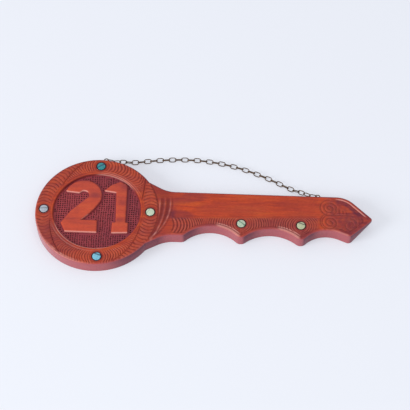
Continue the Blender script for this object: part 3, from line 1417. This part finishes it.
class WALLKEY_OT_shell_discs(bpy.types.Operator):
    """Turn and set the six shell discs in their sockets"""

    bl_idname = "wall_key.shell_discs"
    bl_label = "Set shell discs"

    def execute(self, context):
        scene = context.scene
        key = in_mm(scene.key_board_sizes, scene.key_fittings)
        r = key.disc_r
        for node, (x, y) in disc_places(key).items():
            low, high = (corner[2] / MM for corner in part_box(node))
            edge_z = high - 0.5
            dome = [(share * r, edge_z + 0.46 * (1 - share * share)) for share in
                    (0.92, 0.8, 0.6, 0.4, 0.2)]
            profile = [(0, low), (r - 0.25, low), (r, low + 0.25), (r, edge_z - 0.3),
                       (r - 0.08, edge_z - 0.08), (r - 0.25, edge_z + 0.04)] + dome + [(0, high - 0.02)]
            coords, faces = lathe((x, y), profile, DISC_SEGMENTS)
            slot, *looks = SHELLS[node]
            material = shell_material("polished_" + slot, (x, y), *looks)
            piece = new_piece(node + "_polished", coords, faces, material, sharp=50)
            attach(piece, "key")
            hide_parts(node)
        return {"FINISHED"}


class WALLKEY_OT_screw_eyes(bpy.types.Operator):
    """Bend the two screw eyes and cut their threads"""

    bl_idname = "wall_key.screw_eyes"
    bl_label = "Bend screw eyes"

    def execute(self, context):
        key = in_mm(context.scene.key_fittings)
        material = bronze_material("dark_eye_bronze", context.scene.key_colours.bronze, 700)
        tree = thread_tree()
        outer, wire_r = key.eye_ring / 2, key.eye_wire / 2
        ring_r = outer - wire_r
        wood = -outer - key.eye_neck
        shank_r = key.shank_d / 2 - 0.22
        size = key.shank_len
        threaded = size * 0.78
        bends = np.radians(np.linspace(-90, 252, 58))
        ring = [(ring_r * math.cos(a), ring_r * math.sin(a), 0.0) for a in bends]
        path = [(0.0, wood - 0.6, 0.0), (0.0, wood + 0.2, 0.0), (0.0, -ring_r - 0.5, 0.0),
                (0.18, -ring_r - 0.12, 0.0)] + ring[2:]
        radii = np.full(len(path), wire_r * 0.97)
        radii[:2] = wire_r * 0.95
        radii[-2:] = wire_r * 0.9
        shank_path = [(0, wood + 0.1, 0)] + [(0, wood - size * share, 0) for share in (0.5, 0.8, 0.97)]
        for node in ("screw_eye_head", "screw_eye_shank"):
            low, high = (np.array(corner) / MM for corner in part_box(node))
            middle = np.array([(low[0] + high[0]) / 2, high[1] - outer, (low[2] + high[2]) / 2])
            bent = new_piece(node + "_ring", *wire(middle + path, radii, WIRE_SIDES), material)
            coords, faces = wire(middle + shank_path, [shank_r] * 3 + [0.12], WIRE_SIDES)
            shank_piece = new_piece(node + "_shank", coords, faces, material)
            thread = grown(node + "_thread", [(middle + (0, wood - 0.3, 0)) * MM], tree, {
                "Turns": threaded / key.thread_pitch, "Radius": (shank_r + 0.02) * MM,
                "Height": threaded * MM, "Depth": 0.19 * MM, "Material": material,
            })
            whole = joined(node + "_turned", [bent.data, shank_piece.data, thread])
            for loose in (bent, shank_piece):
                bpy.data.objects.remove(loose)
            piece = placed(node + "_turned", whole)
            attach(piece, "key")
            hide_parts(node)
        return {"FINISHED"}


class WALLKEY_OT_chain(bpy.types.Operator):
    """Bend the chain's links and hang them in each other"""

    bl_idname = "wall_key.chain"
    bl_label = "Hang chain"

    def execute(self, context):
        key = in_mm(context.scene.key_fittings)
        material = bronze_material("dark_chain_bronze", context.scene.key_colours.bronze, 1100)
        tree = link_tree()
        for body, name, nodes in (
            ("first_link", "chain_first_link_bent", LINKS[:1]),
            ("chain", "chain_links_bent", LINKS[1:-1]),
            ("last_link", "chain_last_link_bent", LINKS[-1:]),
        ):
            middles, turns = zip(*(link_frame(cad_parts[node]) for node in nodes))
            mesh = grown(name, middles, tree, {
                "Wire": key.link_wire * MM,
                "Length": (key.link_inside + key.link_wire) * MM,
                "Width": (key.link_w - key.link_wire) * MM,
                "Roundness": key.link_bulge if body == "chain" else key.end_bulge,
                "Material": material,
            }, turns)
            piece = placed(name, mesh)
            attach(piece, body)
            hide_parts(*nodes)
        return {"FINISHED"}


class WALLKEY_OT_stage(bpy.types.Operator):
    """Lay the pale floor, hang the lamps and set up the camera"""

    bl_idname = "wall_key.stage"
    bl_label = "Set stage"

    def execute(self, context):
        scene = context.scene
        stage, pale = scene.key_stage, scene.key_colours.floor
        floor_material, tree, shader, place = new_material("pale_floor")
        warmer = [c * share for c, share in zip(pale, (1, 1.02, 1.01))]
        tone = mixed(tree, noise(tree, place, 2.2), pale, warmer)
        feed_all(tree, shader, {"Base Color": tone, "Roughness": 0.9, "Specular IOR Level": 0.1})
        ray = add(tree, "ShaderNodeLightPath").outputs
        seen = maths(tree, "MAXIMUM", ray["Is Camera Ray"], ray["Is Glossy Ray"])
        both = add(tree, "ShaderNodeMixShader", maths(tree, "MULTIPLY", seen, 0.45))
        feed(tree, both.inputs[1], shader)
        feed(tree, both.inputs[2], add(tree, "ShaderNodeEmission", tone, Strength=0.95))
        feed(tree, tree.nodes["Material Output"].inputs["Surface"], both)
        signs = ((-1, -1), (1, -1), (1, 1), (-1, 1))
        corners = [(x * FLOOR_HALF, y * FLOOR_HALF, -0.05) for x, y in signs]
        floor = new_piece("floor", corners, [(0, 1, 2, 3)], floor_material)

        world = bpy.data.worlds.new("even_light")
        scene.world = world
        world.use_nodes = True
        light = world.node_tree.nodes["Background"]
        light.inputs["Color"].default_value = (0.97, 0.98, 1.0, 1)
        light.inputs["Strength"].default_value = stage.sky

        target = Vector(PICTURE_MIDDLE) * MM
        for name, where, power, width in (
            ("main_lamp", (-2740, -1350, 1530), stage.lamp, 1.4),
            ("fill_lamp", (600, -700, 1900), stage.lamp * 0.09, 1.2),
        ):
            lamp = bpy.data.lights.new(name, "AREA")
            lamp.energy = power
            lamp.size = width
            hung = placed(name, lamp)
            hung.location = Vector(where) * MM
            hung.rotation_euler = (target - hung.location).to_track_quat("-Z", "Y").to_euler()

        turn, elevation = math.radians(stage.turn), math.radians(stage.elevation)
        ahead = Vector((-math.sin(turn) * math.cos(elevation), math.cos(turn) * math.cos(elevation),
                        -math.sin(elevation)))
        camera = bpy.data.cameras.new("camera")
        camera.type = "PERSP"
        camera.sensor_width = FILM_WIDTH
        camera.lens = FILM_WIDTH * stage.distance / stage.field
        camera.clip_end = 20
        viewer = placed("camera", camera)
        viewer.location = target - ahead * stage.distance
        viewer.rotation_euler = ahead.to_track_quat("-Z", "Y").to_euler()
        scene.camera = viewer
        scene.view_settings.view_transform = "Standard"
        return {"FINISHED"}


class WALLKEY_PT_panel(bpy.types.Panel):
    """Lists the steps and sizes of the wall key"""

    bl_idname = "WALLKEY_PT_panel"
    bl_label = "Wall Key"
    bl_space_type = "VIEW_3D"
    bl_region_type = "UI"
    bl_category = "Wall Key"

    def draw(self, context):
        for step in STEPS:
            self.layout.operator(step.bl_idname)
        for holder in GROUPS:
            group = getattr(context.scene, holder)
            column = self.layout.column(align=True)
            for name in size_names(group):
                column.prop(group, name)


STEPS = (WALLKEY_OT_stage, WALLKEY_OT_board, WALLKEY_OT_shell_discs, WALLKEY_OT_screw_eyes,
         WALLKEY_OT_chain)
GROUPS = {
    "key_board_sizes": BoardSizes,
    "key_carving": CarvingSizes,
    "key_fittings": FittingSizes,
    "key_colours": FinishColours,
    "key_stage": StageSizes,
}


def register():
    """Makes the sizes, steps and panel known to Blender."""
    for group in GROUPS.values():
        bpy.utils.register_class(group)
    for step in STEPS + (WALLKEY_PT_panel,):
        bpy.utils.register_class(step)
    for holder, group in GROUPS.items():
        setattr(bpy.types.Scene, holder, PointerProperty(type=group))


def unregister():
    """Takes them away again."""
    for holder in GROUPS:
        delattr(bpy.types.Scene, holder)
    for step in STEPS + (WALLKEY_PT_panel,):
        bpy.utils.unregister_class(step)
    for group in GROUPS.values():
        bpy.utils.unregister_class(group)


def main():
    """Builds the stage and every piece."""
    register()
    for step in STEPS:
        group, name = step.bl_idname.split(".")
        getattr(getattr(bpy.ops, group), name)()


if __name__ == "__main__":
    main()
